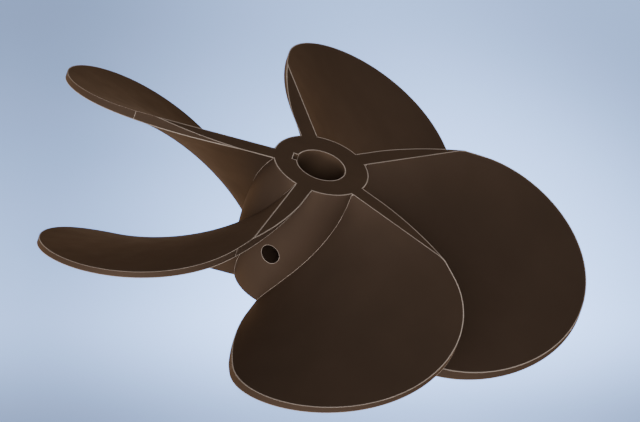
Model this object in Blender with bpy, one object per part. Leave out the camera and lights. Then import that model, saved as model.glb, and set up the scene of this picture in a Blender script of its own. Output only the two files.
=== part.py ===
"""Five-blade fixed-pitch ship propeller, cast in one piece.

A barrel-shaped hub carries five broad blades. Each blade is a flat bar that is swept down a
right-handed helix from the hub's upper face to its lower face, and then trimmed to a rounded
outline by walls that stand parallel to the shaft. Metres, +Z up along the shaft axis.
The origin is on the shaft axis in the hub's lower face, on which the propeller stands.
"""
import math

import bmesh
import bpy
from mathutils import Matrix, Vector

# Driving dimensions
BLADE_COUNT = 5
TIP_RADIUS = 0.500
PITCH = 1.250
SECTOR = 2 * math.pi / BLADE_COUNT
HUB_LENGTH = PITCH / BLADE_COUNT        # so a blade turns through one sector from face to face
HUB_END_RADIUS = 0.0835
HUB_BELLY_RADIUS = 0.103
BORE_RADIUS = 0.042
KEYWAY_WIDTH = 0.017
KEYWAY_DEPTH = 0.0072                   # beyond the bore's wall
KEYWAY_ANGLE = math.radians(-161.3)
GREASE_HOLE_RADIUS = 0.017
GREASE_HOLE_HEIGHT = 0.110
BLADE_BAR_WIDTH = 0.030                 # measured level, across the bar
FIRST_BLADE_ANGLE = math.radians(-9.9)  # of the bar's centre line in the hub's upper face

# Blade outline seen along the shaft: a round lobe, and two long flat arcs that run to the hub
LOBE_RADIUS = 0.175
LOBE_CENTRE_RADIUS = TIP_RADIUS - LOBE_RADIUS
LOBE_ANGLE = -SECTOR / 2                # from the bar's centre line, so the outline is symmetric
EDGE_RADIUS = 0.585
EDGE_JOIN_ANGLE = math.radians(103.3)   # either side of the lobe's own centre line
EDGE_TURN = math.radians(28.5)          # how far each long arc turns on its way to the hub

# Fineness of the facets
ROUND_STEPS = 60
HOLE_STEPS = 24
BARREL_STEPS = 12
SWEEP_STEPS = 20
BAR_STEPS = 13
LOBE_STEPS = 44
EDGE_STEPS = 7

BAR_START_RADIUS = 0.060                # inside the hub
BAR_END_RADIUS = 0.515                  # outside the tip circle
ROOT_GAP = 0.0003                       # left between the hub and each blade's root
OVERCUT = 0.010                         # how far a cutter runs past what it cuts

MATERIALS = {
    "hub": ((0.055, 0.036, 0.021, 1.0), 0.42, 0.85),
    "blade": ((0.038, 0.023, 0.014, 1.0), 0.38, 0.85),
}


def clear_scene():
    """Remove every object of the open scene."""
    for item in list(bpy.data.objects):
        bpy.data.objects.remove(item, do_unlink=True)


def make_material(name, key):
    """Plain metal with the colour, roughness and metallic value of one kind of surface."""
    colour, roughness, metallic = MATERIALS[key]
    material = bpy.data.materials.new(name)
    material.use_nodes = True
    shader = material.node_tree.nodes["Principled BSDF"]
    shader.inputs["Base Color"].default_value = colour
    shader.inputs["Roughness"].default_value = roughness
    shader.inputs["Metallic"].default_value = metallic
    material.diffuse_color = colour
    return material


def add_object(name, mesh):
    """Put a mesh into the scene as a named object."""
    item = bpy.data.objects.new(name, mesh)
    bpy.context.scene.collection.objects.link(item)
    return item


def finish_bmesh(name, shape):
    """Turn a bmesh into a mesh with all its faces pointing out."""
    bmesh.ops.recalc_face_normals(shape, faces=shape.faces)
    mesh = bpy.data.meshes.new(name)
    shape.to_mesh(mesh)
    shape.free()
    return mesh


def make_guide(name, mesh):
    """A cutting shape: shown as wire and left out of the model."""
    guide = add_object(name, mesh)
    guide.display_type = "WIRE"
    guide.hide_render = True
    return guide


def add_boolean(target, cutter, operation):
    """Cut or trim one object by another with a Boolean modifier."""
    modifier = target.modifiers.new(cutter.name, "BOOLEAN")
    modifier.operation = operation
    modifier.solver = "EXACT"
    modifier.object = cutter


def bake(item):
    """The object's mesh with its modifiers worked out."""
    graph = bpy.context.evaluated_depsgraph_get()
    return bpy.data.meshes.new_from_object(item.evaluated_get(graph))


def turned_solid(name, profile):
    """Solid of revolution about Z: a profile of (radius, height) points, closed on the axis."""
    shape = bmesh.new()
    low, high = profile[0][1], profile[-1][1]
    outline = [(0.0, low)] + profile + [(0.0, high)]
    corners = [shape.verts.new((radius, 0.0, height)) for radius, height in outline]
    edges = [shape.edges.new(pair) for pair in zip(corners, corners[1:])]
    bmesh.ops.spin(shape, geom=corners + edges, axis=(0, 0, 1), cent=(0, 0, 0),
                   angle=2 * math.pi, steps=ROUND_STEPS, use_merge=True)
    bmesh.ops.remove_doubles(shape, verts=shape.verts, dist=1e-6)
    return finish_bmesh(name, shape)


def cylinder(name, radius, start, end, steps):
    """Closed cylinder between two points."""
    run = end - start
    turn = run.to_track_quat("Z", "Y").to_matrix().to_4x4()
    shape = bmesh.new()
    bmesh.ops.create_cone(shape, cap_ends=True, segments=steps, radius1=radius, radius2=radius,
                          depth=run.length, matrix=Matrix.Translation((start + end) / 2) @ turn)
    return finish_bmesh(name, shape)


def barrel_radius(height):
    """Radius of the hub's side, one circular arc from end face over the belly to end face."""
    bulge = HUB_BELLY_RADIUS - HUB_END_RADIUS
    arc_radius = ((HUB_LENGTH / 2) ** 2 + bulge ** 2) / (2 * bulge)
    from_belly = height - HUB_LENGTH / 2
    return HUB_BELLY_RADIUS - arc_radius + math.sqrt(arc_radius ** 2 - from_belly ** 2)


def barrel_profile(offset):
    """Points of the hub's side, moved outward by an offset."""
    heights = [HUB_LENGTH * step / BARREL_STEPS for step in range(BARREL_STEPS + 1)]
    return [(barrel_radius(height) + offset, height) for height in heights]


def prism(name, outline):
    """Straight prism over a plan outline, from just below the hub to just above it."""
    shape = bmesh.new()
    corners = [shape.verts.new((point.x, point.y, -OVERCUT)) for point in outline]
    base = shape.faces.new(corners)
    raised = bmesh.ops.extrude_face_region(shape, geom=[base])
    lifted = [item for item in raised["geom"] if isinstance(item, bmesh.types.BMVert)]
    bmesh.ops.translate(shape, verts=lifted, vec=(0, 0, HUB_LENGTH + 2 * OVERCUT))
    return finish_bmesh(name, shape)


def arc(centre, radius, start, end, steps):
    """Points along a circular arc in the plan, with both its ends."""
    angles = [start + (end - start) * step / steps for step in range(steps + 1)]
    return [centre + radius * Vector((math.cos(angle), math.sin(angle))) for angle in angles]


def keyed_bore_outline():
    """Plan outline of the bore with its keyway, which points along KEYWAY_ANGLE."""
    mouth = math.asin(KEYWAY_WIDTH / 2 / BORE_RADIUS)
    start = KEYWAY_ANGLE + mouth
    end = KEYWAY_ANGLE + 2 * math.pi - mouth
    floor = BORE_RADIUS + KEYWAY_DEPTH
    turn = Matrix.Rotation(KEYWAY_ANGLE, 2)
    corners = [turn @ Vector((floor, side * KEYWAY_WIDTH / 2)) for side in (-1, 1)]
    return arc(Vector((0, 0)), BORE_RADIUS, start, end, ROUND_STEPS) + corners


def make_hub():
    """Barrel with a straight bore, a keyway along it and one round hole through its wall."""
    hub = add_object("hub", turned_solid("hub", barrel_profile(0.0)))
    bore = make_guide("keyed_bore_cutter", prism("keyed_bore_cutter", keyed_bore_outline()))
    hole_start = Vector((0, -BORE_RADIUS / 2, GREASE_HOLE_HEIGHT))
    hole_end = Vector((0, -HUB_BELLY_RADIUS - OVERCUT, GREASE_HOLE_HEIGHT))
    drill = cylinder("grease_hole_cutter", GREASE_HOLE_RADIUS, hole_start, hole_end, HOLE_STEPS)
    hole = make_guide("grease_hole_cutter", drill)
    add_boolean(hub, bore, "DIFFERENCE")
    add_boolean(hub, hole, "DIFFERENCE")
    hub.data.materials.append(make_material("hub_bronze", "hub"))
    return hub


def swept_bar(name):
    """The flat bar, swept down the helix from the hub's upper face to its lower face."""
    shape = bmesh.new()
    half = BLADE_BAR_WIDTH / 2
    span = BAR_END_RADIUS - BAR_START_RADIUS
    stations = [BAR_START_RADIUS + span * step / BAR_STEPS for step in range(BAR_STEPS + 1)]
    low_side = [shape.verts.new((radius, -half, HUB_LENGTH)) for radius in stations]
    high_side = [shape.verts.new((radius, half, HUB_LENGTH)) for radius in stations]
    top = []
    for index in range(BAR_STEPS):
        corners = (low_side[index], low_side[index + 1], high_side[index + 1], high_side[index])
        top.append(shape.faces.new(corners))
    bmesh.ops.spin(shape, geom=top, axis=(0, 0, 1), cent=(0, 0, 0), angle=-SECTOR,
                   dvec=(0, 0, -HUB_LENGTH / SWEEP_STEPS), steps=SWEEP_STEPS)
    bmesh.ops.remove_doubles(shape, verts=shape.verts, dist=1e-6)
    return finish_bmesh(name, shape)


def blade_outline():
    """Plan outline of a blade whose bar lies along +X: long arc, lobe, long arc."""
    lobe_centre = LOBE_CENTRE_RADIUS * Vector((math.cos(LOBE_ANGLE), math.sin(LOBE_ANGLE)))
    trailing_join = LOBE_ANGLE - EDGE_JOIN_ANGLE
    leading_join = LOBE_ANGLE + EDGE_JOIN_ANGLE
    inward = LOBE_RADIUS - EDGE_RADIUS
    toward_trailing = Vector((math.cos(trailing_join), math.sin(trailing_join)))
    toward_leading = Vector((math.cos(leading_join), math.sin(leading_join)))
    trailing_centre = lobe_centre + inward * toward_trailing
    leading_centre = lobe_centre + inward * toward_leading
    trailing = arc(trailing_centre, EDGE_RADIUS, trailing_join - EDGE_TURN, trailing_join, EDGE_STEPS)
    lobe = arc(lobe_centre, LOBE_RADIUS, trailing_join, leading_join, LOBE_STEPS)
    leading = arc(leading_centre, EDGE_RADIUS, leading_join, leading_join + EDGE_TURN, EDGE_STEPS)
    return trailing + lobe[1:-1] + leading


def root_cutter_profile():
    """The hub's side with the root gap added, run past both end faces."""
    side = barrel_profile(ROOT_GAP)
    below = (side[0][0], -OVERCUT)
    above = (side[-1][0], HUB_LENGTH + OVERCUT)
    return [below] + side + [above]


def blade_mesh():
    """One blade, trimmed to its outline and cut free of the hub."""
    blank = make_guide("blade_blank", swept_bar("blade_blank"))
    outline = make_guide("outline_cutter", prism("outline_cutter", blade_outline()))
    root = make_guide("root_cutter", turned_solid("root_cutter", root_cutter_profile()))
    add_boolean(blank, outline, "INTERSECT")
    add_boolean(blank, root, "DIFFERENCE")
    mesh = bake(blank)
    mesh.name = "blade"
    return mesh


def make_blades():
    """Five equal blades, counted anticlockwise from above."""
    mesh = blade_mesh()
    for index in range(BLADE_COUNT):
        copy = mesh.copy()
        copy.materials.clear()
        copy.materials.append(make_material(f"blade_{index + 1}_bronze", "blade"))
        blade = add_object(f"blade_{index + 1}", copy)
        blade.rotation_euler.z = FIRST_BLADE_ANGLE + index * SECTOR
        yield blade


def main():
    """Build the hub and its blades."""
    clear_scene()
    pieces = [make_hub()] + list(make_blades())
    for piece in pieces:
        piece.data.shade_smooth()
        piece.data.set_sharp_from_angle(angle=math.radians(30))


main()
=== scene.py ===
# %% [markdown]
# # A ship propeller in dark bronze
#
# This file dresses the five-blade propeller. The solid model already fixes every size, so each
# surface here is worked out again, much finer, from the same few dimensions. It is laid out as
# a lesson: a few words about a piece on the real propeller, then the code that makes it.

# %% Frame and tools
import math

import bmesh
import bpy
import numpy as np
from mathutils import Matrix, Vector


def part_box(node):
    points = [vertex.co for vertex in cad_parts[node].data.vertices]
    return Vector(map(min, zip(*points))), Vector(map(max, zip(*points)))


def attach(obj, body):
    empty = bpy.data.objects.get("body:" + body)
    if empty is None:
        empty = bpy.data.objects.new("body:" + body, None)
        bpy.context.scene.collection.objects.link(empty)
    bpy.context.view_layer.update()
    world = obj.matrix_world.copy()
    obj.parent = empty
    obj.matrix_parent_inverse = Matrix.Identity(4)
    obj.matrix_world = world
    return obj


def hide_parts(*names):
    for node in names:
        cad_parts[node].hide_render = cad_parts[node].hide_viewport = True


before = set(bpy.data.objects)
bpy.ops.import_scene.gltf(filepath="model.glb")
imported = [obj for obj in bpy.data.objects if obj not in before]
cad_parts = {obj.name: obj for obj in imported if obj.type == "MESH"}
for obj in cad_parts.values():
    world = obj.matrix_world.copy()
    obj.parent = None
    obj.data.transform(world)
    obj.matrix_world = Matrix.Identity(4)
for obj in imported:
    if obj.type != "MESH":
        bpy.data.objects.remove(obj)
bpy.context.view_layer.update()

# %% [markdown]
# ## Driving dimensions
#
# The blades are a flat bar, 30 mm across, swept down a right-handed helix. The pitch is the
# height that one whole turn would climb, and the hub is a fifth of it long. So each blade turns
# through exactly one fifth of a circle between the hub's two end faces. Lengths are in metres.

# %% Dimensions
BLADES = 5
SECTOR = 2 * math.pi / BLADES
HUB_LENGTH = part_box("hub")[1][2]
BELLY_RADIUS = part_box("hub")[1][0]
PITCH = HUB_LENGTH * BLADES
RISE = PITCH / (2 * math.pi)            # height gained for each radian of turn
END_RADIUS = 0.0835
BORE_RADIUS = 0.042
KEYWAY_HALF_WIDTH = 0.0085
KEYWAY_FLOOR = 0.0492
KEYWAY_ANGLE = math.radians(-161.3)
HOLE_RADIUS = 0.017
HOLE_HEIGHT = 0.110
HALF_BAR = 0.015
FIRST_BLADE_ANGLE = math.radians(-9.9)
TIP_RADIUS = 0.500
LOBE_RADIUS = 0.175
LOBE_CENTRE = TIP_RADIUS - LOBE_RADIUS
EDGE_RADIUS = 0.585
EDGE_JOIN = math.radians(103.3)
CHAMFER = 0.00015                       # the small flat that wear leaves on a sharp edge
RUB = 0.0016                            # width of the strip beside it on upper and lower faces,
SIDE_RUB = 0.0001                       # on upright and steep ones,
LOW_RUB = 0.0012                        # on a blade's upright edge above its lower face,
MOUTH_RUB = 0.0005                      # and at the mouths of the radial hole and the keyway
ROOT_RADIUS = END_RADIUS - CHAMFER      # where a blade's flat joins the hub's upper face
print("hub", round(HUB_LENGTH, 4), "long, belly", round(BELLY_RADIUS, 4), "pitch", round(PITCH, 4))

# %% [markdown]
# ## Camera
#
# The picture is a parallel view, with no vanishing point. A very long lens from 30 m away comes
# within a pixel or two of it, and still lets the camera be moved round the propeller. It looks
# down at 33 degrees and is rolled by 19 degrees, so that the shaft leans in the picture.

# %% Camera
PHOTO_WIDTH = 640
PHOTO_HEIGHT = 422
HUB_TOP_PIXEL = (321.05, 165.30)        # middle of the hub's upper face
METRES_PER_PIXEL = 0.00169              # at the height of that face
VIEW_AZIMUTH = math.radians(18.75)
VIEW_ELEVATION = math.radians(33.13)
VIEW_ROLL = math.radians(18.90)
LENS = 1000
SENSOR = 36


def view_axes():
    """Right, up and backward directions of the rolled camera, as unit vectors."""
    back = Vector((math.sin(VIEW_AZIMUTH) * math.cos(VIEW_ELEVATION),
                   -math.cos(VIEW_AZIMUTH) * math.cos(VIEW_ELEVATION),
                   math.sin(VIEW_ELEVATION)))
    level = Vector((math.cos(VIEW_AZIMUTH), math.sin(VIEW_AZIMUTH), 0))
    upright = back.cross(level)
    right = math.cos(VIEW_ROLL) * level + math.sin(VIEW_ROLL) * upright
    return right, back.cross(right), back


def make_camera():
    """Camera whose picture puts the hub's upper face where the photograph has it."""
    right, up, back = view_axes()
    across = (PHOTO_WIDTH / 2 - HUB_TOP_PIXEL[0]) * METRES_PER_PIXEL
    down = (PHOTO_HEIGHT / 2 - HUB_TOP_PIXEL[1]) * METRES_PER_PIXEL
    aim = Vector((0, 0, HUB_LENGTH)) + across * right - down * up
    distance = PHOTO_WIDTH * METRES_PER_PIXEL * LENS / SENSOR
    data = bpy.data.cameras.new("camera")
    data.lens = LENS
    data.sensor_width = SENSOR
    data.clip_end = 2 * distance
    camera = bpy.data.objects.new("camera", data)
    axes = Matrix((right, up, back)).transposed().to_4x4()
    camera.matrix_world = Matrix.Translation(aim + distance * back) @ axes
    bpy.context.scene.collection.objects.link(camera)
    bpy.context.scene.camera = camera
    print("camera stands", round(distance, 2), "m away")


make_camera()

# %% [markdown]
# ## Materials
#
# The casting is bronze that has gone dark brown. Its skin has a faint, cloudy change of tone
# and a fine grain. The bore is machined to fit the shaft, and its metal is painted paler: this
# is painted light, which makes up for the shade deep inside the bore. Sharp edges are worn to
# paler metal still. The worn bands are narrow faces of the mesh and not a pattern painted on it,
# so they stay crisp from any side.

# %% Shader helpers
USUAL_NOISE = (0.3, 0.7)                # nearly all values of a noise lie between these two


def node(tree, kind, **values):
    """Add a shader node and set its attributes."""
    item = tree.nodes.new(kind)
    for name, value in values.items():
        setattr(item, name, value)
    return item


def noise(tree, scale, detail):
    """Noise on Object coordinates, so that the pattern stays with the metal."""
    where = node(tree, "ShaderNodeTexCoord")
    pattern = node(tree, "ShaderNodeTexNoise")
    pattern.inputs["Scale"].default_value = scale
    pattern.inputs["Detail"].default_value = detail
    tree.links.new(where.outputs["Object"], pattern.inputs["Vector"])
    return pattern.outputs["Fac"]


def spread(tree, value, low, high):
    """Stretch the usual noise values to run from low to high."""
    ranged = node(tree, "ShaderNodeMapRange")
    ranged.inputs["From Min"].default_value = USUAL_NOISE[0]
    ranged.inputs["From Max"].default_value = USUAL_NOISE[1]
    ranged.inputs["To Min"].default_value = low
    ranged.inputs["To Max"].default_value = high
    tree.links.new(value, ranged.inputs["Value"])
    return ranged.outputs["Result"]


# %% Materials
CLOUDS = (9, 5)                         # scale and detail of the noise that changes the tone,
PATCHES = (26, 4)                       # of the noise that changes the gloss,
GRAIN = (420, 3)                        # and of the noise that is the fine grain
GLOSS_CHANGE = 0.04                     # how far the roughness goes up and down
GRAIN_HEIGHT = 0.0004
EDGE_TINT = (0.99, 0.70, 0.51, 1)       # colour of the metal where it is seen at a slant


def bronze(name, dark, light, metallic, roughness, grain):
    """Bronze whose tone clouds between two colours, with a fine grain in its surface."""
    material = bpy.data.materials.new(name)
    material.use_nodes = True
    tree = material.node_tree
    shader = tree.nodes["Principled BSDF"]
    shader.inputs["Metallic"].default_value = metallic
    shader.inputs["Specular IOR Level"].default_value = 0.0
    shader.inputs["Specular Tint"].default_value = EDGE_TINT
    tone = node(tree, "ShaderNodeMix", data_type="RGBA")
    tone.inputs["A"].default_value = (*dark, 1)
    tone.inputs["B"].default_value = (*light, 1)
    tree.links.new(spread(tree, noise(tree, *CLOUDS), 0, 1), tone.inputs["Factor"])
    tree.links.new(tone.outputs["Result"], shader.inputs["Base Color"])
    patchy = spread(tree, noise(tree, *PATCHES), roughness - GLOSS_CHANGE, roughness + GLOSS_CHANGE)
    tree.links.new(patchy, shader.inputs["Roughness"])
    bump = node(tree, "ShaderNodeBump")
    bump.inputs["Strength"].default_value = grain
    bump.inputs["Distance"].default_value = GRAIN_HEIGHT
    tree.links.new(noise(tree, *GRAIN), bump.inputs["Height"])
    tree.links.new(bump.outputs["Normal"], shader.inputs["Normal"])
    return material


skin = bronze("bronze_skin", (0.0565, 0.0366, 0.0257), (0.0641, 0.0414, 0.0291),
              metallic=0.50, roughness=0.55, grain=0.10)
# this pale colour is wear on the sharp edges, and on the root beads it is a painted highlight line
worn_and_highlight = bronze("bronze_worn_edge_and_highlight", (0.291, 0.236, 0.198), (0.364, 0.295, 0.247),
              metallic=0.15, roughness=0.50, grain=0.05)
# painted light: the bore's bronze is painted paler than the skin, against the shade inside the bore
machined_and_painted_light = bronze("bronze_machined_and_painted_light", (0.106, 0.067, 0.044), (0.120, 0.076, 0.050),
                  metallic=0.50, roughness=0.50, grain=0.05)
print("finishes", skin.name, worn_and_highlight.name, machined_and_painted_light.name)

# %% [markdown]
# ## From arrays to meshes
#
# A surface is a grid of points. The helper below takes rows of points, each row a closed ring
# with the same number of points, and joins each row to the next with four-sided faces. Each face
# is of one of three kinds, and its kind is its place in the list of materials.

# %% Mesh helpers
# the third kind is the bore's bronze, painted paler as painted light against the bore's shade
SKIN, WORN, MACHINED_AND_PAINTED_LIGHT = 0, 1, 2          # where True stands for a kind, it counts as 1, worn
MERGE_DISTANCE = 2e-6                   # points nearer than this become one
EMPTY_LENGTH = 1e-7                     # and an edge shorter than this is taken out


def ring_faces(rows, columns):
    """Corner numbers of the faces between neighbouring rings, as an array of fours."""
    row, column = np.meshgrid(np.arange(rows - 1), np.arange(columns), indexing="ij")
    beside = (column + 1) % columns
    corners = [row * columns + column, (row + 1) * columns + column,
               (row + 1) * columns + beside, row * columns + beside]
    return np.stack(corners, axis=-1).reshape(-1, 4)


def build(name, points, faces, kinds, materials, sharp=10):
    """Closed mesh object from points, faces and a material number for each face.

    An edge stays crisp where its faces meet at more than the sharp angle, in degrees.
    """
    mesh = bpy.data.meshes.new(name)
    mesh.from_pydata(points.tolist(), [], [list(face) for face in faces])
    for material in materials:
        mesh.materials.append(material)
    mesh.polygons.foreach_set("material_index", np.asarray(kinds, dtype=np.int32))
    shape = bmesh.new()
    shape.from_mesh(mesh)
    bmesh.ops.remove_doubles(shape, verts=shape.verts, dist=MERGE_DISTANCE)
    bmesh.ops.dissolve_degenerate(shape, edges=shape.edges, dist=EMPTY_LENGTH)
    bmesh.ops.recalc_face_normals(shape, faces=shape.faces)
    open_edges = sum(not edge.is_manifold for edge in shape.edges)
    litres = 1000 * shape.calc_volume(signed=True)
    shape.to_mesh(mesh)
    shape.free()
    mesh.shade_smooth()
    mesh.set_sharp_from_angle(angle=math.radians(sharp))
    item = bpy.data.objects.new(name, mesh)
    bpy.context.scene.collection.objects.link(item)
    print(name, len(mesh.polygons), "faces,", open_edges, "open edges,", round(litres, 3), "litres")
    return item


def arc(centre, radius, start, end, count):
    """Plan points on a circular arc: the centre plus the radius turned through equal angles."""
    angle = np.linspace(start, end, count)
    return np.asarray(centre) + radius * np.stack([np.cos(angle), np.sin(angle)], axis=-1)


# %% [markdown]
# ## Blade outline
#
# Seen along the shaft, a blade is a round lobe with two long, nearly straight edges that run
# in to the hub. It is symmetric about the line from the shaft to the middle of the lobe. The
# half on the leading side is worked out here in plan, with x along that line. A curve object
# could draw it too, but an array of points has one exactly where a band or a mark starts. A fine
# mark crosses the edge's thickness just before the long curve runs into the lobe.

# %% Blade outline
HALF_SECTOR = SECTOR / 2
BAR_SIDE = np.array([-math.sin(HALF_SECTOR), math.cos(HALF_SECTOR)])   # across the top bar
BAR_ALONG = np.array([math.cos(HALF_SECTOR), math.sin(HALF_SECTOR)])   # along the top bar
MIDDLE = np.array([LOBE_CENTRE, 0.0])   # of the lobe
HALF_MARK = 0.0004                      # half the width of the fine mark across the edge
MARK_TO_LOBE = 0.0064                   # from the middle of the mark to the start of the lobe
MARK_ANGLE = EDGE_JOIN + MARK_TO_LOBE / EDGE_RADIUS
FIRST_STEP = 0.0005                     # a short one, so that worn strips start right at the hub
ROOT_POINTS = 24
BAR_POINTS = 16
EDGE_POINTS = 52
JOIN_POINTS = 3                         # from the mark to the lobe
LOBE_POINTS = 84


def bar_point(along, side):
    """Plan point from its distances along the top bar's centre line and to its leading side."""
    return np.multiply.outer(along, BAR_ALONG) + np.multiply.outer(side, BAR_SIDE)


def edge_arc_centre():
    """Centre of the long leading arc, which is tangent to the lobe inside it."""
    toward = np.array([math.cos(EDGE_JOIN), math.sin(EDGE_JOIN)])
    return MIDDLE + (LOBE_RADIUS - EDGE_RADIUS) * toward


def leading_half():
    """Outline points round the hub's rim, along the bar, the long arc and the lobe, to the tip."""
    corner = bar_point(math.sqrt(ROOT_RADIUS ** 2 - HALF_BAR ** 2), HALF_BAR)
    root = arc((0, 0), ROOT_RADIUS, 0, math.atan2(corner[1], corner[0]), ROOT_POINTS)
    centre = edge_arc_centre()
    inside = HALF_BAR - centre @ BAR_SIDE
    crossing = centre @ BAR_ALONG + math.sqrt(EDGE_RADIUS ** 2 - inside ** 2)
    begin = corner @ BAR_ALONG
    along = np.append(begin, np.linspace(begin + FIRST_STEP, crossing, BAR_POINTS))
    bar_edge = bar_point(along, np.full(len(along), HALF_BAR))
    start = bar_edge[-1] - centre
    half = HALF_MARK / EDGE_RADIUS
    edge = arc(centre, EDGE_RADIUS, math.atan2(start[1], start[0]), MARK_ANGLE + half, EDGE_POINTS)
    to_lobe = arc(centre, EDGE_RADIUS, MARK_ANGLE - half, EDGE_JOIN, JOIN_POINTS)
    lobe = arc(MIDDLE, LOBE_RADIUS, EDGE_JOIN, 0, LOBE_POINTS)
    return np.concatenate([root, bar_edge[1:], edge[1:], to_lobe, lobe[1:]])


def mirror_columns(half):
    """The whole outline: the leading half, then its mirror image back to the start."""
    trailing = half[-2:0:-1] * np.array([1, -1])
    return np.concatenate([half, trailing])


outline = mirror_columns(leading_half())
print("outline of", len(outline), "points, to", outline[:, 0].max().round(4), "m from the shaft")

# %% [markdown]
# ## Blade surfaces
#
# The upper side of the swept bar is a helix surface: its height grows with the angle round the
# shaft. The lower side is the same surface turned over, because a half turn about the blade's
# own middle line swaps the two sides. So only the upper half is worked out. A Screw modifier
# could sweep the bar, but its faces would not follow the blade's outline. Here rays run out from
# the middle of the lobe. On each ray lie the points of the helix side, then those of the level
# flat where the hub's upper face cuts the bar, then those of the upright edge.

# %% Blade heights
SLOPE_STEP = 1e-5                       # distance on each side over which a slope is measured


def helix_height(plan):
    """Height of the bar's upper side: middle height plus the rise for the angle turned."""
    x, y = plan[..., 0], plan[..., 1]
    distance = np.hypot(x, y)
    return HUB_LENGTH / 2 + RISE * (np.arctan2(y, x) + np.arcsin(HALF_BAR / distance))


def upper_height(plan):
    """Height of the blade's upper surface: the helix side, cut off level with the hub's face."""
    return np.minimum(helix_height(plan), HUB_LENGTH)


def stretch_along(plan, direction):
    """Length on the helix side for each unit in plan: the root of one plus the slope squared."""
    step = SLOPE_STEP * direction
    rise = helix_height(plan + step) - helix_height(plan - step)
    return np.sqrt(1 + (rise / (2 * SLOPE_STEP)) ** 2)


def outward_normals(ring):
    """Unit normals of a ring: the run from the point before to the one after, turned square."""
    run = np.roll(ring, -1, axis=0) - np.roll(ring, 1, axis=0)
    normal = np.stack([-run[:, 1], run[:, 0]], axis=-1)
    return normal / np.linalg.norm(normal, axis=1, keepdims=True)


thick = 2 * helix_height(MIDDLE) - HUB_LENGTH
print("blade", round(float(thick), 4), "from top to bottom at the middle of the lobe")

# %% [markdown]
# Each sharp edge gets three narrow bands: a small flat in the middle, and a rubbed strip on
# each of the two faces beside it. A Bevel modifier would give both faces the same, but wear does
# not: the strip is wide on upper and lower faces and hardly there on upright and steep ones.
# Widths are measured on the surface, so on each ray they are divided by the slope and by the
# share of the ray that runs across the edge. Where the level flat runs out to nothing, its bands
# shrink with it.

# %% Bands along each ray
LEAST_ACROSS = 0.2                      # least share of a ray that counts as across the bar
FLAT_ROOM = 1.1                         # the flat has full bands once it is this much wider
RIM_SLACK = 1e-6                        # a point this near the hub's rim is on it


def ray_places():
    """For each ray: its direction, and the distances of the bands' borders from the middle.

    A border lies the band's width before or past the crease or the edge. That width is divided
    by the share of the ray that runs across the crease or edge, and on the helix side also by
    its slope. The full share is 1 where the level flat has room for its bands, and 0 without it.
    """
    reach = np.linalg.norm(outline - MIDDLE, axis=1)
    ray = (outline - MIDDLE) / reach[:, None]
    start, side = MIDDLE @ BAR_SIDE, outline @ BAR_SIDE
    crease = reach * np.where(side > -HALF_BAR, (-HALF_BAR - start) / (side - start), 1)
    in_hub = np.hypot(outline[:, 0], outline[:, 1]) < ROOT_RADIUS + RIM_SLACK

    sideways = np.maximum(ray @ BAR_SIDE, LEAST_ACROSS)
    steep_crease = sideways * stretch_along(MIDDLE + crease[:, None] * ray, BAR_SIDE)
    normal = outward_normals(outline)
    across = np.sum(ray * normal, axis=1)
    steep_edge = across * stretch_along(outline, normal)

    needed = (CHAMFER / 2 + RUB) / sideways + (CHAMFER + RUB) / across
    full = np.clip((reach - crease) / (FLAT_ROOM * needed), 0, 1)
    bare = (1 - full) * CHAMFER / steep_edge
    bare_strip = (1 - full) * (CHAMFER + RUB) / steep_edge
    places = [
        crease - full * (CHAMFER / 2 + SIDE_RUB) / steep_crease - bare_strip,
        crease - full * CHAMFER / 2 / steep_crease - bare,
        crease + full * CHAMFER / 2 / sideways - bare,
        crease + full * (CHAMFER / 2 + RUB) / sideways - bare,
        reach - full * (CHAMFER + RUB) / across - bare,
        reach - full * CHAMFER / across - bare]
    places[:4] = [np.where(in_hub & (full == 0), reach, place) for place in places[:4]]
    places[4:] = [np.where(in_hub, reach, place) for place in places[4:]]
    return ray, places, full, in_hub, normal


print(len(ray_places()[1]), "borders on each of", len(outline), "rays")

# %% [markdown]
# The points that lie on the same border, one on each ray, make a ring. The upright edge adds
# three rings below the upper surface, down to its own mid-height. On it the strip is hardly
# there below the upper face and wide above the lower one. Along the straight side of the bar
# there is no upright edge: the flat meets the blade's underside in a wedge, and its point is cut
# back a little instead.

# %% Rings of a blade
SIDE_STEPS = 40                         # rings over the helix side
FLAT_STEPS = 5                          # and over the level flat
THIN_EDGE = 4 * CHAMFER                 # an upright edge less tall than this is also cut back
CUT_BACK = 0.7 * CHAMFER                # by up to this much
FLAT_SHARE = 0.2                        # of the edge's height, the most that its small flat takes
STRIP_SHARE = 0.4                       # and the most that flat and strip take together


def edge_rings(in_hub, normal, side_rub):
    """Rings on the upright edge: the outline, lowered by the flat, by flat and strip, by half."""
    top = upper_height(outline)
    bottom = HUB_LENGTH - upper_height(outline * np.array([1, -1]))
    tall = np.maximum(top - bottom, 0)
    blunt = np.where(in_hub, 0, CUT_BACK * np.maximum(0, 1 - tall / THIN_EDGE))
    wall = outline - blunt[:, None] * normal
    flat = np.minimum(CHAMFER, FLAT_SHARE * tall)
    strip = np.minimum(CHAMFER + side_rub, STRIP_SHARE * tall)
    return [np.column_stack([wall, top - drop]) for drop in (flat, strip, tall / 2)]


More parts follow.
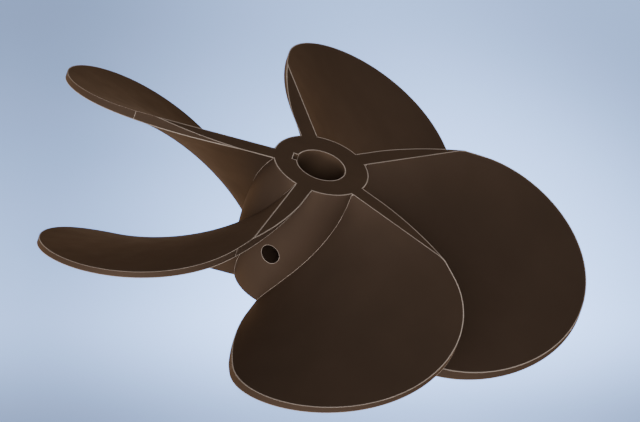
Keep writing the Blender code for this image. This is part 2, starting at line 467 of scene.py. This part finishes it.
def upper_half(side_rub):
    """Rings of points from the lobe's middle to mid-height of the edge, and their kinds."""
    ray, places, full, in_hub, normal = ray_places()
    distances = [part * places[0] for part in np.linspace(1 / SIDE_STEPS, 1, SIDE_STEPS)]
    distances += places[1:4]
    flat_parts = np.linspace(0, 1, FLAT_STEPS)[1:]
    distances += [places[3] + part * (places[4] - places[3]) for part in flat_parts]
    distances.append(places[5])
    plans = [MIDDLE + distance[:, None] * ray for distance in distances]
    rings = [np.column_stack([plan, upper_height(plan)]) for plan in plans]
    rings += edge_rings(in_hub, normal, side_rub)

    kinds = np.full((len(rings) - 1, len(outline)), SKIN)
    kinds[SIDE_STEPS - 1] = (full > 0) | ~in_hub        # strip on the helix side
    kinds[SIDE_STEPS:SIDE_STEPS + 2] = full > 0         # flat of the crease, strip beyond it
    kinds[-4:-1] = ~in_hub                              # strip, flat of the edge, strip below it
    middles = (outline + np.roll(outline, -1, axis=0)) / 2
    mark = arc(edge_arc_centre(), EDGE_RADIUS, MARK_ANGLE, MARK_ANGLE, 1)
    off_mark = np.linalg.norm(np.abs(middles) - mark, axis=1)
    kinds[-1, off_mark < HALF_MARK] = WORN
    return np.array(rings), kinds


print(len(upper_half(SIDE_RUB)[0]), "rings in the upper half of a blade")

# %% Blade meshes


def turned_over(rings):
    """The lower half: the upper half after a half turn about the blade's middle line."""
    columns = -np.arange(rings.shape[1]) % rings.shape[1]
    return rings[::-1, columns] * np.array([1, -1, -1]) + np.array([0, 0, HUB_LENGTH])


def blade_grid():
    """Points, faces and kinds of one closed blade, with one point at the middle of each side."""
    upper, kinds = upper_half(SIDE_RUB)
    lower, _ = upper_half(LOW_RUB)
    rings = np.concatenate([upper, turned_over(lower)[1:]])
    rows, columns = rings.shape[:2]
    points = rings.reshape(-1, 3)
    top = np.append(MIDDLE, helix_height(MIDDLE))
    low = np.append(MIDDLE, HUB_LENGTH - helix_height(MIDDLE))
    points = np.concatenate([points, [top, low]])
    around = np.arange(columns)
    beside = (around + 1) % columns
    last = (rows - 1) * columns
    top_fan = np.stack([around, beside, np.full(columns, len(points) - 2)], axis=-1)
    low_fan = np.stack([last + beside, last + around, np.full(columns, len(points) - 1)], axis=-1)
    faces = ring_faces(rows, columns).tolist() + top_fan.tolist() + low_fan.tolist()
    flipped = kinds[::-1, (-around - 1) % columns]
    fan_kinds = np.full(2 * columns, SKIN)
    return points, faces, np.concatenate([kinds.ravel(), flipped.ravel(), fan_kinds])


def turned(points, angle):
    """Points turned about the shaft: x and y through the angle, heights as they are."""
    x = points[:, 0] * math.cos(angle) - points[:, 1] * math.sin(angle)
    y = points[:, 0] * math.sin(angle) + points[:, 1] * math.cos(angle)
    return np.column_stack([x, y, points[:, 2]])


def blade_angle(index):
    """Angle of a blade's middle line: the first one's plus a fifth of a circle for each step."""
    return FIRST_BLADE_ANGLE - HALF_SECTOR + index * SECTOR


def make_blades():
    """Five blades, each in place of its solid."""
    points, faces, kinds = blade_grid()
    for index in range(BLADES):
        number = index + 1
        place = turned(points, blade_angle(index))
        blade = build(f"blade_{number}_surface", place, faces, kinds, [skin, worn_and_highlight])
        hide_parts(f"blade_{number}")
        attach(blade, "root")


make_blades()

# %% [markdown]
# ## Hub
#
# The hub is turned: a barrel side that is one circular arc, two flat end faces and a straight
# bore. Its section is carried round the shaft as a stack of rings. A Spin would do that in one
# step, but it can't make a keyway. Here the rings inside follow the bore with its keyway, and
# those outside are circles. A column of points stands exactly where the strip along each side
# of a blade meets the rim, so the rim's own strip can stop there: the hub's face and the blades'
# flats are one unbroken star.

# %% Hub section
BARREL_BULGE = BELLY_RADIUS - END_RADIUS
BARREL_ARC = ((HUB_LENGTH / 2) ** 2 + BARREL_BULGE ** 2) / (2 * BARREL_BULGE)
BAR_ANGLES = FIRST_BLADE_ANGLE + SECTOR * np.arange(BLADES)
STRIP_ANGLE = math.asin((HALF_BAR - RUB) / ROOT_RADIUS)     # to the strip inside a bar's side


def barrel_radius(height):
    """Radius of the hub's side: an arc through both end edges and the belly."""
    return BELLY_RADIUS - BARREL_ARC + np.sqrt(BARREL_ARC ** 2 - (height - HUB_LENGTH / 2) ** 2)


def bore_radius(height):
    """Radius of the bore, the same at every height."""
    return np.full_like(height, BORE_RADIUS)


print("hub side arc radius", round(BARREL_ARC, 4))

# %% Bore with its keyway
BORE_COLUMNS = 225                      # points round the bore, from one side of the keyway on
KEY_FLOOR_POINTS = 9
KEY_SIDE_POINTS = 4
TOO_CLOSE = 0.4                         # of a step


def with_exact(even, exact):
    """Even steps with the given values put in, each in place of a step that is too close to it."""
    near = np.abs(even[:, None] - exact).min(axis=1) < TOO_CLOSE * (even[1] - even[0])
    near[[0, -1]] = False
    return np.sort(np.concatenate([even[~near], exact]))


def blade_sides():
    """Angles of the blades' worn strips at the rim, counted from the middle of the keyway."""
    sides = np.concatenate([BAR_ANGLES - STRIP_ANGLE, BAR_ANGLES + STRIP_ANGLE])
    return (sides - KEYWAY_ANGLE + math.pi) % (2 * math.pi) - math.pi


def keyed_ring(grow):
    """Plan ring of the bore with its keyway, moved out into the metal by a small distance.

    An arc runs from one side of the keyway round the shaft to the other side, and then come one
    side, the floor and the other side. All of it is turned to the keyway's angle at the end.
    """
    radius = BORE_RADIUS + grow
    half = KEYWAY_HALF_WIDTH + grow
    floor = KEYWAY_FLOOR + grow
    mouth = math.asin(half / radius)
    bare_mouth = math.asin(KEYWAY_HALF_WIDTH / BORE_RADIUS)
    sides = blade_sides()
    in_key = np.abs(sides) < bare_mouth
    strip = bare_mouth + MOUTH_RUB / BORE_RADIUS
    beside = np.append(sides[~in_key] % (2 * math.pi), [strip, 2 * math.pi - strip])
    shares = (beside - bare_mouth) / (2 * math.pi - 2 * bare_mouth)
    steps = with_exact(np.linspace(0, 1, BORE_COLUMNS), shares)
    angle = mouth + steps * (2 * math.pi - 2 * mouth)
    full = radius * np.column_stack([np.cos(angle), np.sin(angle)])
    start = radius * math.cos(mouth)
    depth = np.append(start, np.linspace(start + MOUTH_RUB, floor, KEY_SIDE_POINTS))
    low_side = np.column_stack([depth, np.full(len(depth), -half)])
    places = KEYWAY_FLOOR / KEYWAY_HALF_WIDTH * np.tan(sides[in_key])
    across = half * (2 * with_exact(np.linspace(0, 1, KEY_FLOOR_POINTS), (places + 1) / 2) - 1)
    bottom = np.column_stack([np.full(len(across), floor), across])
    high_side = low_side[::-1] * np.array([1, -1])
    key = np.concatenate([low_side[1:], bottom[1:], high_side[1:-1]])
    turn = np.array([[math.cos(KEYWAY_ANGLE), math.sin(KEYWAY_ANGLE)],
                     [-math.sin(KEYWAY_ANGLE), math.cos(KEYWAY_ANGLE)]])
    return np.concatenate([full, key]) @ turn


column_angle = np.arctan2(*keyed_ring(0).T[::-1])
print(len(column_angle), "columns of points round the shaft")

# %% Rings and worn columns


def circle_ring(radius):
    """Plan circle with one point in the direction of each point of the keyed ring."""
    return radius * np.stack([np.cos(column_angle), np.sin(column_angle)], axis=-1)


def at_height(plan, height):
    """A plan ring lifted to a height."""
    return np.column_stack([plan, np.full(len(plan), height)])


def beside_keyway():
    """True for each column of faces that touches one of the two corners of the keyway's mouth."""
    ring = keyed_ring(0)
    middle = (ring + np.roll(ring, -1, axis=0)) / 2
    half_mouth = math.asin(KEYWAY_HALF_WIDTH / BORE_RADIUS)
    corners = arc((0, 0), BORE_RADIUS, KEYWAY_ANGLE - half_mouth, KEYWAY_ANGLE + half_mouth, 2)
    away = np.linalg.norm(middle[:, None] - corners, axis=2)
    return away.min(axis=1) < MOUTH_RUB


def beside_blades():
    """True for each column of faces that lies between two blades at the rim."""
    following = np.roll(column_angle, -1)
    middle = column_angle + ((following - column_angle + math.pi) % (2 * math.pi) - math.pi) / 2
    off = (middle[:, None] - BAR_ANGLES + math.pi) % (2 * math.pi) - math.pi
    return np.abs(off).min(axis=1) > STRIP_ANGLE


print(beside_blades().sum(), "columns between blades,", beside_keyway().sum(), "at the keyway")

# %% [markdown]
# ## Radial hole
#
# A round hole runs from the hub's side to the bore. A Boolean modifier could cut it, but the
# long thin faces that it leaves round a mouth shade unevenly. So a window of grid faces is left
# out where the hole comes through each wall. The window's square border is then blended into
# the round mouth, on the wall's own surface, and the two mouths are joined by a tube.

# %% Windows
HOLE_ANGLE = -math.pi / 2
WINDOW_HALF_HEIGHT = 0.026
WINDOW_LOOP = 128                       # points round the hole
BARREL_WINDOW = math.radians(15)        # half the angle of the window in the hub's side
BORE_WINDOW = math.radians(33)          # and in the bore


def window_columns(half_angle):
    """First and last grid columns of a window that is centred on the hole."""
    off = np.abs((column_angle - HOLE_ANGLE + math.pi) % (2 * math.pi) - math.pi)
    inside = np.flatnonzero(off < half_angle)
    return inside[0], inside[-1]


def window_heights(half_angle):
    """Heights of a window's rings, as many as give its border the agreed number of points."""
    first, last = window_columns(half_angle)
    rows = WINDOW_LOOP // 2 - (last - first)
    return np.linspace(HOLE_HEIGHT + WINDOW_HALF_HEIGHT, HOLE_HEIGHT - WINDOW_HALF_HEIGHT, rows + 1)


def wall_heights(half_angle, above, below):
    """Heights of a wall's rings from the top: strip, even steps, window, even steps, strip."""
    middle = window_heights(half_angle)
    edge = CHAMFER + SIDE_RUB
    upper = np.linspace(HUB_LENGTH - edge, middle[0], above)
    lower = np.linspace(middle[-1], edge, below)
    return np.concatenate([[HUB_LENGTH - CHAMFER], upper[:-1], middle, lower[1:], [CHAMFER]])


def window_border(half_angle, radius_at):
    """Border of a window as distance across the hole and height, once round from a corner."""
    first, last = window_columns(half_angle)
    heights = window_heights(half_angle)
    angles = column_angle[first:last + 1]
    top = np.column_stack([angles, np.full(len(angles), heights[0])])
    right = np.column_stack([np.full(len(heights), angles[-1]), heights])
    low = np.column_stack([angles[::-1], np.full(len(angles), heights[-1])])
    left = np.column_stack([np.full(len(heights), angles[0]), heights[::-1]])
    border = np.concatenate([top[:-1], right[:-1], low[:-1], left[:-1]])
    across = radius_at(border[:, 1]) * np.sin(border[:, 0] - HOLE_ANGLE)
    return np.column_stack([across, border[:, 1]])


for wall, half_angle in (("side", BARREL_WINDOW), ("bore", BORE_WINDOW)):
    columns, rows = np.ptp(window_columns(half_angle)), len(window_heights(half_angle)) - 1
    print("window in the", wall, "leaves out", columns, "columns and", rows, "rows of faces")

# %% Sleeve through the hole
FIRST_CORNER = math.radians(135)        # where the borders start, seen from the hole's outer end
BARREL_STEPS = 6                        # rings from border to mouth on the hub's side,
TUBE_STEPS = 10                         # through the hole,
BORE_STEPS = 5                          # and from mouth to border in the bore


def on_wall(flat, radius_at, sink=0.0):
    """Points at a distance across the hole and a height, set on a wall or sunk below it."""
    across, height = flat.T
    out = np.sqrt(radius_at(height) ** 2 - across ** 2) - sink
    return np.column_stack([across, -out, height])


def mouth_circle(radius):
    """Circle round the hole's axis, once round from the same corner as the borders."""
    angle = FIRST_CORNER - np.linspace(0, 2 * math.pi, WINDOW_LOOP, endpoint=False)
    return np.array([0, HOLE_HEIGHT]) + radius * np.stack([np.cos(angle), np.sin(angle)], axis=-1)


def steps_between(first, second, count):
    """Shapes in even steps from the first to the second: first plus a share of the difference."""
    return [first + part * (second - first) for part in np.linspace(0, 1, count)]


def hole_sleeve():
    """Rings from the border on the hub's side, in through the hole, to the border in the bore."""
    outer = window_border(BARREL_WINDOW, barrel_radius)
    inner = window_border(BORE_WINDOW, bore_radius)
    wide, mouth = mouth_circle(HOLE_RADIUS + CHAMFER + MOUTH_RUB), mouth_circle(HOLE_RADIUS)
    rings = [on_wall(flat, barrel_radius) for flat in steps_between(outer, wide, BARREL_STEPS)]
    rings.append(on_wall(mouth_circle(HOLE_RADIUS + CHAMFER), barrel_radius))
    rings.append(on_wall(mouth, barrel_radius, CHAMFER))
    start, end = on_wall(mouth, barrel_radius, CHAMFER + MOUTH_RUB), on_wall(mouth, bore_radius)
    rings += steps_between(start, end, TUBE_STEPS)
    rings += [on_wall(flat, bore_radius) for flat in steps_between(mouth, inner, BORE_STEPS)[1:]]
    kinds = np.full((len(rings) - 1, WINDOW_LOOP), SKIN)
    kinds[BARREL_STEPS - 1:BARREL_STEPS + 2] = WORN     # strip, flat of the mouth, strip inside it
    # the bore's wall takes the paler colour that is painted light
    kinds[1 - BORE_STEPS:] = MACHINED_AND_PAINTED_LIGHT                   # wall of the bore
    return np.array(rings), kinds


print("sleeve of", len(hole_sleeve()[0]), "rings of", WINDOW_LOOP, "points")

# %% [markdown]
# The hub is then put together: up the bore, out over the top face, down the side, in over the
# lower face. The two windows are left out and the sleeve closes them.

# %% Rings of the hub
FACE_RINGS = 7                          # across each end face
BORE_RINGS = (14, 14)                   # above and below the window in the bore
SIDE_RINGS = (30, 24)                   # and on the hub's side


def face_rings():
    """Plan rings across an end face, from the bore's small flat to the rim's."""
    inner, outer = keyed_ring(CHAMFER + RUB), circle_ring(ROOT_RADIUS - RUB)
    return [keyed_ring(CHAMFER), *steps_between(inner, outer, FACE_RINGS), circle_ring(ROOT_RADIUS)]


def hub_rings():
    """Rings of the hub's section in order, and how many belong to bore, face, side and face."""
    bore = wall_heights(BORE_WINDOW, *BORE_RINGS)[::-1]
    side = wall_heights(BARREL_WINDOW, *SIDE_RINGS)
    face = face_rings()
    rings = [at_height(keyed_ring(0), height) for height in bore]
    rings += [at_height(ring, HUB_LENGTH) for ring in face]
    rings += [at_height(circle_ring(barrel_radius(height)), height) for height in side]
    rings += [at_height(ring, 0) for ring in face[::-1]]
    rings.append(rings[0])
    return np.array(rings), np.array([len(bore), len(face), len(side), len(face)])


print("rings in bore, face, side and face:", hub_rings()[1])

# %% Kinds of the hub's faces


def hub_kinds(counts, columns):
    """Kind of each face: machined in the bore, with its colour painted paler as painted light,
    worn where two parts meet, and skin elsewhere.
    """
    last = np.cumsum(counts) - 1
    kinds = np.full((counts.sum(), columns), SKIN)
    # the bore's faces take the paler colour, painted light against the shade inside the bore
    kinds[:last[0]] = MACHINED_AND_PAINTED_LIGHT
    for row in last:
        kinds[[row - 1, row, (row + 1) % len(kinds)]] = WORN    # strip, flat, strip
    between = beside_blades()
    for row in (last[1], last[2]):
        kinds[row - 1:row + 2] = between
    kinds[:last[0], beside_keyway()] = WORN
    return kinds


# %% Hub mesh


def window_mask(rings, half_angle, rows):
    """True for the grid faces of a window, by row and column."""
    mask = np.zeros((len(rings) - 1, rings.shape[1]), dtype=bool)
    first, last = window_columns(half_angle)
    height = (rings[:-1, 0, 2] + rings[1:, 0, 2]) / 2
    inside = np.flatnonzero(np.abs(height - HOLE_HEIGHT) < WINDOW_HALF_HEIGHT)
    inside = inside[(inside >= rows[0]) & (inside < rows[1])]
    mask[inside[0]:inside[-1] + 1, first:last] = True
    return mask


def make_hub():
    """The hub as one closed skin."""
    rings, counts = hub_rings()
    columns = rings.shape[1]
    starts = np.cumsum(counts)
    kinds = hub_kinds(counts, columns)
    left_out = window_mask(rings, BORE_WINDOW, (0, starts[0] - 1))
    left_out |= window_mask(rings, BARREL_WINDOW, (starts[1], starts[2] - 1))
    faces = ring_faces(len(rings), columns)[~left_out.ravel()]
    sleeve, sleeve_kinds = hole_sleeve()
    sleeve_faces = ring_faces(len(sleeve), WINDOW_LOOP) + rings.shape[0] * columns
    points = np.concatenate([rings.reshape(-1, 3), sleeve.reshape(-1, 3)])
    all_faces = np.concatenate([faces, sleeve_faces])
    all_kinds = np.concatenate([kinds[~left_out], sleeve_kinds.ravel()])
    hub = build("hub_surface", points, all_faces, all_kinds, [skin, worn_and_highlight, machined_and_painted_light])
    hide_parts("hub")
    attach(hub, "root")


make_hub()

# %% [markdown]
# ## Root beads
#
# Where a blade grows out of the hub, the casting has a small rounded corner. It is painted in the
# pale colour of the worn edges, as a painted highlight that shows it as a thin line of light. A
# Bevel modifier can't make it, because hub and blade are two meshes. At every height the corner
# lies between a straight side of the bar and the round side of the hub. So its section is worked
# out level by level: two short legs, one along each wall, and a hollow curve from one leg's end
# to the other.

# %% Root beads
ROOT_LEG = 0.0004                       # length of each leg
ROOT_LEVELS = 120
ROOT_CURVE = 5                          # points on the hollow curve
ROOT_PULL = 0.15                        # with 0 the curve bends to the corner, with 1 not at all
ROOT_SINK = 0.001                       # how far the bead reaches back into both walls
END_LEG = 0.25                          # share of the leg that is left at the hub's faces
END_RISE = 0.004                        # height in which a leg would grow from nothing to full
ROOT_SHARP = 60                         # degrees


def root_section(heights, leg):
    """Points by level and place, along and across the bar: inner corner, leg ends and curve.

    The curve runs from leg end to leg end, and one control point pulls it towards the corner.
    """
    radius = barrel_radius(heights)
    corner = np.column_stack([np.sqrt(radius ** 2 - HALF_BAR ** 2), np.full_like(radius, HALF_BAR)])
    deep = corner - ROOT_SINK
    bar_leg = corner + leg[:, None] * np.array([1.0, 0.0])
    turn = np.arcsin(HALF_BAR / radius) + leg / radius
    hub_leg = radius[:, None] * np.stack([np.cos(turn), np.sin(turn)], axis=-1)
    share = np.linspace(0, 1, ROOT_CURVE)[:, None, None]
    pull = corner + ROOT_PULL * ((bar_leg + hub_leg) / 2 - corner)
    curve = (1 - share) ** 2 * bar_leg + 2 * share * (1 - share) * pull + share ** 2 * hub_leg
    bar_back = bar_leg - np.array([0.0, ROOT_SINK])
    hub_back = hub_leg * (1 - ROOT_SINK / radius[:, None])
    return np.concatenate([deep[None], bar_back[None], curve, hub_back[None]])


def root_bead(side):
    """Points along one side of a blade's root: side is 1 for the lower face, -1 for the upper."""
    heights = np.linspace(CHAMFER, HUB_LENGTH - CHAMFER, ROOT_LEVELS)
    to_end = np.minimum(heights - heights[0], heights[-1] - heights)
    leg = ROOT_LEG * np.clip(END_LEG + to_end / END_RISE, 0, 1)
    section = root_section(heights, leg)
    along, across = section[..., 0], side * section[..., 1]
    turn = (heights - HUB_LENGTH / 2) / RISE
    x = along * np.cos(turn) - across * np.sin(turn)
    y = along * np.sin(turn) + across * np.cos(turn)
    strip = np.stack([x, y, np.broadcast_to(heights, x.shape)], axis=-1)
    return strip.transpose(1, 0, 2)


def make_root_beads():
    """One pair of beads for each blade."""
    pair = [root_bead(1), root_bead(-1)]
    levels, places = pair[0].shape[:2]
    grid = ring_faces(levels, places).tolist()
    grid.append(list(range(places)))
    grid.append([(levels - 1) * places + place for place in range(places)])
    faces = grid + [[corner + levels * places for corner in face] for face in grid]
    points = np.concatenate([bead.reshape(-1, 3) for bead in pair])
    kinds = [0] * len(faces)
    for index in range(BLADES):
        place = turned(points, blade_angle(index))
        # each bead is painted in the pale worn-edge colour: a painted highlight line along the
        # blade's root
        bead = build(f"root_bead_{index + 1}", place, faces, kinds, [worn_and_highlight], ROOT_SHARP)
        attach(bead, "root")


make_root_beads()

# %% [markdown]
# ## Floor
#
# The propeller stands on a pale, smooth floor that glows softly. The glow is one broad pool of
# light with soft sides. It is dimmer in front of the propeller and behind it, and farther away
# the floor is plain. Lamps could light such a pool, but they would light the bronze as well. So
# the floor's paint glows by itself, by a few smooth steps that are multiplied. Only the camera
# sees the floor, because its blue would tint the bronze.

# %% Floor helpers


def fade(tree, value, start, end, low, high):
    """Smooth step from one strength, at the start, to another, at the end."""
    ranged = node(tree, "ShaderNodeMapRange", interpolation_type="SMOOTHSTEP")
    ranged.inputs["From Min"].default_value = start
    ranged.inputs["From Max"].default_value = end
    ranged.inputs["To Min"].default_value = low
    ranged.inputs["To Max"].default_value = high
    tree.links.new(value, ranged.inputs["Value"])
    return ranged.outputs["Result"]


def floor_place(tree, direction):
    """Distance from the shaft along a direction on the floor: the place's dot product with it."""
    where = node(tree, "ShaderNodeTexCoord")
    dot = node(tree, "ShaderNodeVectorMath", operation="DOT_PRODUCT")
    dot.inputs[1].default_value = direction
    tree.links.new(where.outputs["Object"], dot.inputs[0])
    return dot.outputs["Value"]


def floor_distance(tree):
    """Distance from the shaft in any direction on the floor: the length of the place's vector."""
    where = node(tree, "ShaderNodeTexCoord")
    away = node(tree, "ShaderNodeVectorMath", operation="LENGTH")
    tree.links.new(where.outputs["Object"], away.inputs[0])
    return away.outputs["Value"]


def combine(tree, operation, first, *others):
    """Math node on a socket and on more sockets or numbers."""
    item = node(tree, "ShaderNodeMath", operation=operation)
    tree.links.new(first, item.inputs[0])
    for place, other in enumerate(others, start=1):
        if isinstance(other, float):
            item.inputs[place].default_value = other
        else:
            tree.links.new(other, item.inputs[place])
    return item.outputs["Value"]


# %% Floor paint
FLOOR_COLOUR = (0.24, 0.30, 0.46)
FLOOR_GLOW = (1.76, 2.95, 5.75)
FLOOR_ROUGHNESS = 0.9
FLOOR_SHINE = 0.1
ACROSS_POOL = (0.8723, 0.4890, 0)       # unit vectors on the floor: to the right of the pool
ALONG_POOL = (-0.7788, 0.6272, 0)       # and away behind the propeller
POOL_MIDDLE = 0.218                     # across the pool, from the shaft
POOL_REACH = 0.663                      # from its middle to where its sides have faded
SIDE_SHARE = 0.294                      # part of the glow that is left there
BEHIND = (-0.208, 0.801)                # where the pool starts and ends to fade behind
IN_FRONT = (-0.414, -0.074)             # and where it has faded and still shines fully in front
DIM_SHARE = 0.271                       # part of the glow that is left in front and behind
PLAIN_SHARE = 0.17                      # part of the glow far away on all sides
PLAIN = (0.75, 1.5)                     # distances from the shaft where that begins and is reached


def floor_paint():
    """Pale paint whose glow is a pool of light with soft sides, and plain farther away."""
    material = bpy.data.materials.new("floor_paint")
    material.use_nodes = True
    tree = material.node_tree
    shader = tree.nodes["Principled BSDF"]
    shader.inputs["Base Color"].default_value = (*FLOOR_COLOUR, 1)
    shader.inputs["Roughness"].default_value = FLOOR_ROUGHNESS
    shader.inputs["Specular IOR Level"].default_value = FLOOR_SHINE
    shader.inputs["Emission Color"].default_value = (*FLOOR_GLOW, 1)
    along = floor_place(tree, ALONG_POOL)
    behind = fade(tree, along, *BEHIND, 1, 0)
    in_front = fade(tree, along, *IN_FRONT, 0, 1)
    both = combine(tree, "MULTIPLY", behind, in_front)
    band = combine(tree, "MULTIPLY_ADD", both, 1 - DIM_SHARE, DIM_SHARE)
    off_middle = combine(tree, "SUBTRACT", floor_place(tree, ACROSS_POOL), POOL_MIDDLE)
    side = fade(tree, combine(tree, "ABSOLUTE", off_middle), 0, POOL_REACH, 1, SIDE_SHARE)
    near = fade(tree, floor_distance(tree), *PLAIN, 1, 0)
    extra = combine(tree, "MULTIPLY_ADD", band, side, -PLAIN_SHARE)
    glow = combine(tree, "MULTIPLY_ADD", extra, near, PLAIN_SHARE)
    tree.links.new(glow, shader.inputs["Emission Strength"])
    print("floor paint of", len(tree.nodes), "nodes")
    return material


# %% Floor
FLOOR_HALF = 12.0


def make_floor():
    """Wide square under the hub."""
    mesh = bpy.data.meshes.new("floor")
    signs = ((-1, -1), (1, -1), (1, 1), (-1, 1))
    corners = [(FLOOR_HALF * x, FLOOR_HALF * y, 0) for x, y in signs]
    mesh.from_pydata(corners, [], [(0, 1, 2, 3)])
    mesh.materials.append(floor_paint())
    floor = bpy.data.objects.new("floor", mesh)
    floor.visible_diffuse = False
    floor.visible_glossy = False
    floor.visible_shadow = False
    bpy.context.scene.collection.objects.link(floor)
    print("floor", 2 * FLOOR_HALF, "m wide")


make_floor()

# %% [markdown]
# ## Light
#
# White light comes from all round. It is faint from above, and strong from below the horizon,
# where it stands in for the light that a floor throws back, so that faces that look down are
# never black. Seven square lamps stand 6 m away, turned to the foot of the hub. Two wide ones
# are in front and behind on the right, and two high ones in front and behind. Three low ones, in
# front on both sides and behind on the left, light the blades' edges and the side of the hub.

# %% Lamps
LAMP_DISTANCE = 6.0
HORIZON = 0.02                          # half the height of the change from below to above


def make_lamp(name, azimuth, height, size, power):
    """Square lamp at an angle from the camera's side and a height, turned to the hub's foot."""
    data = bpy.data.lights.new(name, "AREA")
    data.size = size
    data.energy = power
    lamp = bpy.data.objects.new(name, data)
    angle = VIEW_AZIMUTH + math.radians(azimuth)
    across = math.sqrt(LAMP_DISTANCE ** 2 - height ** 2)
    lamp.location = (across * math.sin(angle), -across * math.cos(angle), height)
    lamp.rotation_mode = "QUATERNION"
    lamp.rotation_quaternion = lamp.location.to_track_quat("Z", "Y")
    bpy.context.scene.collection.objects.link(lamp)
    print(name, "at", [round(part, 2) for part in lamp.location], "with", power, "W")


def make_world(below, above):
    """White light from all round, of one strength below the horizon and another above it."""
    world = bpy.data.worlds.new("studio")
    world.use_nodes = True
    tree = world.node_tree
    background = tree.nodes["Background"]
    background.inputs["Color"].default_value = (1, 1, 1, 1)
    direction = node(tree, "ShaderNodeTexCoord")
    split = node(tree, "ShaderNodeSeparateXYZ")
    tree.links.new(direction.outputs["Generated"], split.inputs["Vector"])
    strength = fade(tree, split.outputs["Z"], -HORIZON, HORIZON, below, above)
    tree.links.new(strength, background.inputs["Strength"])
    bpy.context.scene.world = world


make_world(below=1.02, above=0.10)
make_lamp("wide_front_lamp", azimuth=0, height=2.1, size=4.0, power=330)
make_lamp("wide_right_lamp", azimuth=120, height=2.1, size=4.0, power=161)
make_lamp("high_front_lamp", azimuth=10, height=4.0, size=3.0, power=55)
make_lamp("high_back_lamp", azimuth=180, height=4.0, size=3.0, power=42)
make_lamp("low_front_lamp", azimuth=-30, height=0.7, size=1.2, power=179)
make_lamp("low_right_lamp", azimuth=60, height=0.7, size=1.2, power=45)
make_lamp("low_back_lamp", azimuth=-120, height=0.7, size=1.2, power=134)
